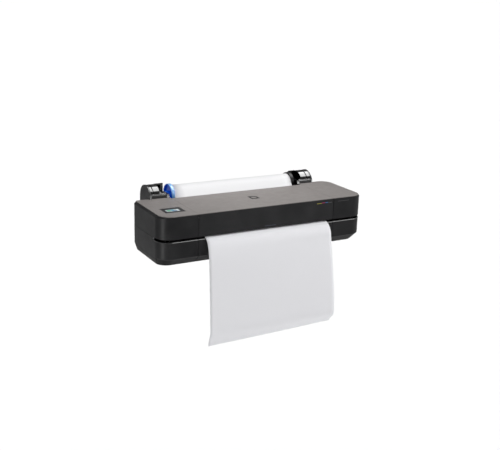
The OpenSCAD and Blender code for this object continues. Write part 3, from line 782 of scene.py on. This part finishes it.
def screen():
    """Lit tiles under the display glass: a pale ground with three fields and a bar."""
    x0, x1, y0, y1 = SCREEN
    tiles = (("lit_ground", (x0, x1, y0, y1), tone(162, 172, 175), 0.0001),
             ("lit_status", (x0 + 0.006, x0 + 0.020, y0 + 0.006, y1 - 0.006), tone(82, 150, 112), 0.0002),
             ("lit_paper", (x0 + 0.023, x0 + 0.037, y0 + 0.012, y1 - 0.003), tone(78, 150, 166), 0.0002),
             ("lit_ink", (x0 + 0.026, x1 - 0.012, y0 + 0.003, y0 + 0.011), tone(60, 96, 140), 0.0002),
             ("lit_bar", (x1 - 0.010, x1 - 0.003, y0 + 0.004, y1 - 0.004), tone(206, 214, 216), 0.0002))
    for name, (a, b, c, d), colour, rise in tiles:
        shape = Shape(name)
        shape.prism(round_rect(a, b, c, d, 0.0012), GLASS_TOP - 0.0002, GLASS_TOP + rise)
        add(name, shape.mesh(), glowing(name, colour, 0.15), "root", smooth=False)


def front_mark(name, body, x0, x1, level, half, radius, depth, colour):
    """A plain dash printed on the front face, a hair thick."""
    shape = Shape(name)
    outline = upright_rect(x0, x1, level - half, level + half, radius)
    shape.prism(outline, FRONT - depth, FRONT + 0.0002, axis="Y")
    add(name, shape.mesh(), moulded(name, colour, 0.5), body, smooth=False)


def front_marks():
    """Four dashes for the ink colours, at the right end of the lid, and two dashes in place of lettering."""
    for name, x0, x1, level, colour in INK_MARKS:
        front_mark(name, "lid", x0, x1, level, 0.0015, 0.0013, 0.00015, colour)
    front_mark("door_dash", "ink_door", 0.360, 0.421, 0.2040, 0.0010, 0.0009, 0.00012, tone(54, 54, 55))
    front_mark("lid_dash", "lid", -0.019, 0.037, 0.1315, 0.0012, 0.00108, 0.00012, tone(50, 56, 68))


def slot_ends():
    """Round grey stops where the slot closes along each side."""
    for side, name in ((-1, "left_slot_stop"), (1, "right_slot_stop")):
        shape = Shape(name)
        profile = ((0, 0.0035), (0.0005, 0.0045), (0.004, 0.0045), (0.005, 0.0035))
        centre = (side * SLOT_END[0], *SLOT_END[1:])
        shape.turned([(side * a, r) for a, r in profile], centre, steps=32)
        add(name, shape.mesh(), looks["button_grey"], "root")


def along_outline(x0, x1, steps=24):
    """Points and outward directions along the front outline of the lower housing, from x0 to x1."""
    low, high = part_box("base_tray")
    points = []
    for side in (-1, 1):
        centre = Vector((side * (high.x - FRONT_CORNER), FRONT + FRONT_CORNER, 0))
        arc = []
        for k in range(steps + 1):
            a = math.radians(90 * k / steps)
            out = Vector((side * math.cos(a), -math.sin(a), 0))
            arc.append((centre + out * FRONT_CORNER, out))
        straight = [(Vector((side * high.x, SLOT_SIDE_END, 0)), Vector((side, 0, 0)))]
        points += straight + arc if side < 0 else arc[::-1] + straight
    kept = [(p, out) for p, out in points if x0 <= p.x <= x1]
    if x0 > low.x:
        kept.insert(0, (Vector((x0, FRONT, 0)), Vector((0, -1, 0))))
    if x1 < high.x:
        kept.append((Vector((x1, FRONT, 0)), Vector((0, -1, 0))))
    return kept


def lip_trim(name, x0, x1):
    """Glossy edge strip with a slanted face, along the lower lip of the paper slot."""
    line = along_outline(x0, x1)
    shape = Shape(name)
    points = [p - out * depth + Vector((0, 0, SLOT_LIP + rise))
              for p, out in line for depth, rise in TRIM_SECTION]
    count = len(TRIM_SECTION)
    faces = []
    for start in range(0, (len(line) - 1) * count, count):
        for k in range(count):
            a, b = start + k, start + (k + 1) % count
            faces.append((a, b, b + count, a + count))
    ends = [list(range(count)), [(len(line) - 1) * count + k for k in reversed(range(count))]]
    shape.put(points, faces + ends)
    crisp(add(name, shape.mesh(), looks["lip_gloss"], "root"), 25)


def rim_sleeve():
    """Clear outer rim of the left roll stop, whose light colour is partly a painted highlight."""
    low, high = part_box("blue_stop")
    centre = (0, (low.y + high.y) / 2, (low.z + high.z) / 2)
    outer = (high.z - low.z) / 2 + 0.0003
    inner = outer - 0.0006
    face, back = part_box("paper_roll")[0].x - 0.0151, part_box("paper_roll")[0].x - 0.0002
    shape = Shape("rim_sleeve")
    shape.turned([(face, inner), (face + 0.0008, outer), (back - 0.0008, outer), (back, inner),
                  (face, inner)], centre, steps=96)
    add("rim_sleeve", shape.mesh(), looks["clear_blue"], "roll")


def seam_strips():
    """Dark strips behind the two lid seams, so that no light comes through: painted shade that makes the
    seams dark lines.
    """
    for side, name in ((-1, "left_seam_strip"), (1, "right_seam_strip")):
        shape = Shape(name)
        middle = side * LID_SEAM
        shape.prism(round_rect(middle - 0.0028, middle + 0.0028, -0.1612, -0.1600, 0.0004), 0.1235, 0.2015)
        add(name, shape.mesh(), looks["inner_black"], "root", smooth=False)


# ---------------------------------------------------------------- back: sockets and screws

BACK = 0.275
PANEL_FLOOR = 0.2716
NETWORK_PINS = 8
DATA_PINS = 4
REAR_SCREWS = [(x, BACK, z) for x in (-0.392, -0.285, 0.020, 0.262, 0.376) for z in (0.060, 0.124)]
PANEL_SCREWS = [(x, BACK, 0.0925) for x in (0.0655, 0.2145)]
# Profile of a pan head: height above the surface in metres, and radius as a share of the head's.
PAN_HEAD = ((0, 1.0), (0.0006, 1.0), (0.0014, 0.82), (0.0017, 0.5), (0.0017, 0.36), (0.0009, 0.2))


def opening_ring(shape, x0, x1, z0, z1, wall, proud, radius):
    """Adds a thin frame round a socket, from the recess out to just proud of the panel."""
    outer = upright_rect(x0, x1, z0, z1, radius)
    inner = upright_rect(x0 + wall, x1 - wall, z0 + wall, z1 - wall, radius * 0.7)
    count = len(outer)
    points = [(x, y, z) for y in (PANEL_FLOOR, BACK + proud) for line in (outer, inner) for z, x in line]
    faces = []
    for k in range(count):
        n = (k + 1) % count
        faces += [(k, n, 2 * count + n, 2 * count + k), (count + k, 3 * count + k, 3 * count + n, count + n),
                  (2 * count + k, 2 * count + n, 3 * count + n, 3 * count + k), (k, count + k, count + n, n)]
    shape.put(points, faces)


def sockets():
    """The network and data sockets with their contacts, and the frame of the power inlet."""
    shells = Shape("socket_shells")
    opening_ring(shells, 0.1502, 0.1658, 0.0842, 0.0978, 0.0008, 0.0004, 0.0006)
    opening_ring(shells, 0.1782, 0.1918, 0.0882, 0.0958, 0.0006, 0.0004, 0.0005)
    add("socket_shells", shells.mesh(), looks["ground_steel"], "root", smooth=False)
    tongue = Shape("socket_tongues")
    tongue.bar((0.1520, PANEL_FLOOR, 0.0952), (0.1640, 0.2740, 0.0968))
    tongue.bar((0.1800, PANEL_FLOOR, 0.0908), (0.1900, 0.2742, 0.0932))
    tongue_piece = add("socket_tongues", tongue.mesh(), looks["button_grey"], "root")
    rounded(tongue_piece, 0.0003, 2, harden_normals=True)
    contacts = Shape("socket_contacts")
    for k in range(NETWORK_PINS):
        contacts.bar((0.1529 + k * 0.0013, PANEL_FLOOR, 0.0944), (0.1536 + k * 0.0013, 0.2737, 0.0953))
    for k in range(DATA_PINS):
        contacts.bar((0.1812 + k * 0.0022, PANEL_FLOOR, 0.0904), (0.1824 + k * 0.0022, 0.2740, 0.0909))
    add("socket_contacts", contacts.mesh(), looks["gold"], "root", smooth=False)
    inlet = Shape("power_inlet_frame")
    opening_ring(inlet, 0.0722, 0.1038, 0.0782, 0.1058, 0.0022, 0.0008, 0.0040)
    crisp(add("power_inlet_frame", inlet.mesh(), looks["inner_black"], "root"), 30)


def screw_heads(name, places, radius):
    """Pan heads with a cross, on the back. Places are on the surface."""
    shape = Shape(name)
    for x, y, z in places:
        shape.turned([(rise, share * radius) for rise, share in PAN_HEAD], (x, y, z), axis="Y", steps=28)
        arm, half = radius * 0.55, radius * 0.12
        for a, b in ((arm, half), (half, arm)):
            shape.bar((x - a, y + 0.0008, z - b), (x + a, y + 0.00172, z + b))
    crisp(add(name, shape.mesh(), looks["screw_black"], "root"), 30)


rim_sleeve()
lip_trim("left_lip_trim", -1.0, -LID_SEAM - SEAM_HALF)
lip_trim("middle_lip_trim", -LID_SEAM + SEAM_HALF, LID_SEAM - SEAM_HALF)
lip_trim("right_lip_trim", LID_SEAM + SEAM_HALF, 1.0)
sockets()
screw_heads("rear_screws", REAR_SCREWS, 0.0042)
screw_heads("panel_screws", PANEL_SCREWS, 0.0022)
seam_strips()
screen()
front_marks()
slot_ends()
